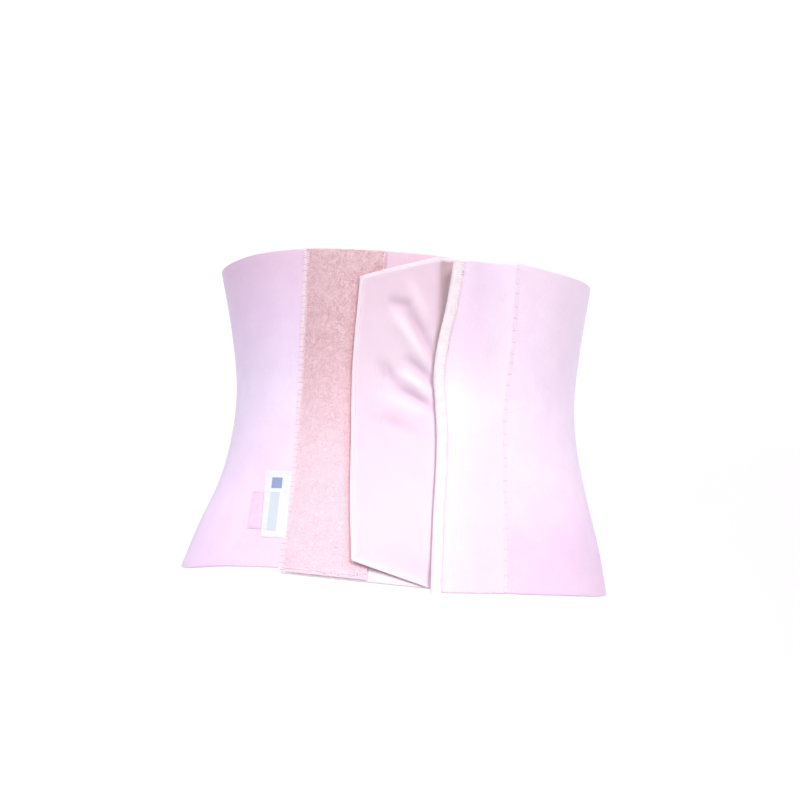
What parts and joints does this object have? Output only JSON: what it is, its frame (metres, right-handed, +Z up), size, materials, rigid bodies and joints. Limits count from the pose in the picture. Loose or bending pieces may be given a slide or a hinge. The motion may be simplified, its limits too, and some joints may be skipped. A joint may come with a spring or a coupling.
{
  "type": "thoracic support belt",
  "caption": "Wide hourglass support belt for the lower ribs and waist, fastened in front with a hook-and-loop flap; soft pale lilac laminated cloth.",
  "frame": {"origin": "on the wearer's body axis at the waist, the belt's narrowest section", "axes": "+Z up along the body axis, -Y towards the front of the wearer, +X to the right as seen from the front"},
  "size_m": [0.3481, 0.2617, 0.2585],
  "materials": {
    "lilac_knit": "matt brushed knit bonded to thin foam, pale lilac pink",
    "loop_pile": "fuzzy loop pile, dusty rose",
    "hook_tape": "moulded hook tape, pale pink",
    "flap_tricot": "smooth warp-knit tricot with a soft sheen, pale pink",
    "binding_tape": "matt ribbed cotton tape, cream white",
    "label_satin": "woven satin, white, with a plain pale stripe and bar",
    "sewing_thread": "matt spun thread, pale pink",
    "tab_tape": "plain woven tape, pink"
  },
  "bodies": {
    "root": {"wrap_panel": "lilac_knit", "left_front_panel": "lilac_knit", "right_front_panel": "lilac_knit", "loop_strip": "loop_pile", "hook_patch": "hook_tape", "closure_flap": "flap_tricot", "edge_binding": "binding_tape", "label": "label_satin", "size_tab": "tab_tape"}
  },
  "joints": []
}
